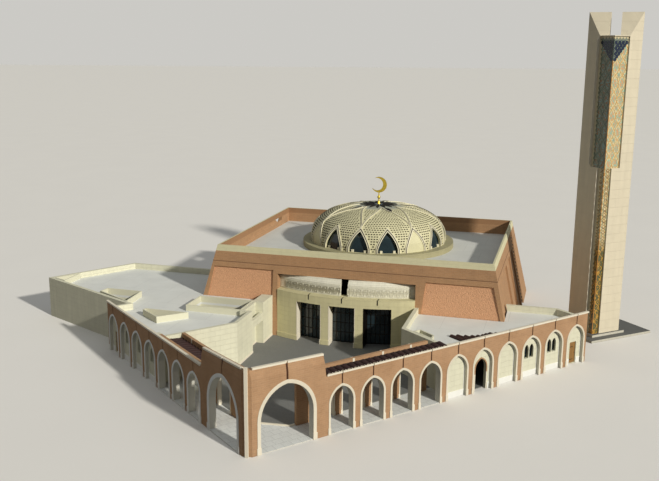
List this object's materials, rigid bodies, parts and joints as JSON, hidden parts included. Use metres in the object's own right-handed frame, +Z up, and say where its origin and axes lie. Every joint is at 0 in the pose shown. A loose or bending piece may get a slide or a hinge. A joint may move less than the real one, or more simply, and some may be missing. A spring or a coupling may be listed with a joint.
{
  "type": "mosque building with arcades, domed prayer hall and minaret, 1:2 scale model",
  "caption": "Mosque with two pointed-arch arcades around a court, low cream wings, a battered terracotta prayer hall with a shallow windowed dome, and a square mosaic minaret. 1:2 scale.",
  "frame": {"origin": "centre of the corner post's underside, at ground level", "axes": "+X along the right arcade, +Y along the left arcade, +Z up"},
  "size_m": [31.6366, 27.8301, 19.8],
  "materials": {
    "masonry": "terracotta brickwork, matt, fine courses",
    "rough_masonry": "coarse split-face terracotta blocks, matt",
    "cream_stone": "smooth cream limestone slabs, honed",
    "pale_stone": "pale sandstone slabs with thin joints",
    "white_roof": "light screed, matt",
    "grey_paving": "grey stone paving, matt",
    "clay_tile": "dark red-brown barrel tiles",
    "dark_glass": "dark glazing, glossy",
    "mosaic": "glazed mosaic in teal, cream and gold",
    "door_wood": "oiled boards",
    "gilt_metal": "gilt, polished"
  },
  "bodies": {
    "building": {"corner_wall_right": "masonry", "corner_wall_left": "masonry", "right_arcade_wall": "masonry", "left_arcade_wall": "masonry", "right_inner_arcade": "masonry", "left_inner_arcade": "masonry", "hall_front_left": "masonry", "hall_front_right": "masonry", "hall_front_band": "masonry", "hall_left_wall": "masonry", "hall_right_wall": "masonry", "hall_back_wall": "masonry", "front_panel_left": "rough_masonry", "front_panel_right": "rough_masonry", "corner_post": "cream_stone", "corner_coping_right": "cream_stone", "corner_coping_left": "cream_stone", "right_coping": "cream_stone", "left_coping": "cream_stone", "right_wing_front_wall": "cream_stone", "left_wing_front_wall": "cream_stone", "right_wing_court_wall": "cream_stone", "right_wing_outer_wall": "cream_stone", "left_wing_court_wall": "cream_stone", "left_wing_outer_wall": "cream_stone", "hall_parapet": "cream_stone", "entrance_wall": "cream_stone", "dome_ring": "cream_stone", "dome_shell": "cream_stone", "entrance_band_left": "pale_stone", "entrance_band_right": "pale_stone", "minaret_shaft": "pale_stone", "right_wing_roof": "white_roof", "left_wing_roof": "white_roof", "hall_roof": "white_roof", "walk_floor": "white_roof", "right_wing_floor": "grey_paving", "left_wing_floor": "grey_paving", "court_floor": "grey_paving", "hall_floor": "grey_paving", "minaret_plinth": "grey_paving", "right_walk_roof": "clay_tile", "left_walk_roof": "clay_tile", "portal_glazing": "dark_glass", "dome_glass": "dark_glass", "right_window_glass": "dark_glass", "left_window_glass": "dark_glass", "minaret_mosaic": "mosaic", "dome_finial": "gilt_metal"},
    "right_door_leaf": {"right_door": "door_wood"},
    "left_door_leaf": {"left_door": "door_wood"}
  },
  "joints": [
    {"name": "right_door_hinge", "type": "hinge", "parent": "building", "child": "right_door_leaf", "pos_m": [20.9637, 0.1477, 0.67], "axis": [0, 0, 1], "range_deg": [0, 90]},
    {"name": "left_door_hinge", "type": "hinge", "parent": "building", "child": "left_door_leaf", "pos_m": [0.1477, 15.6237, 0.67], "axis": [0, 0, -1], "range_deg": [0, 90]}
  ]
}
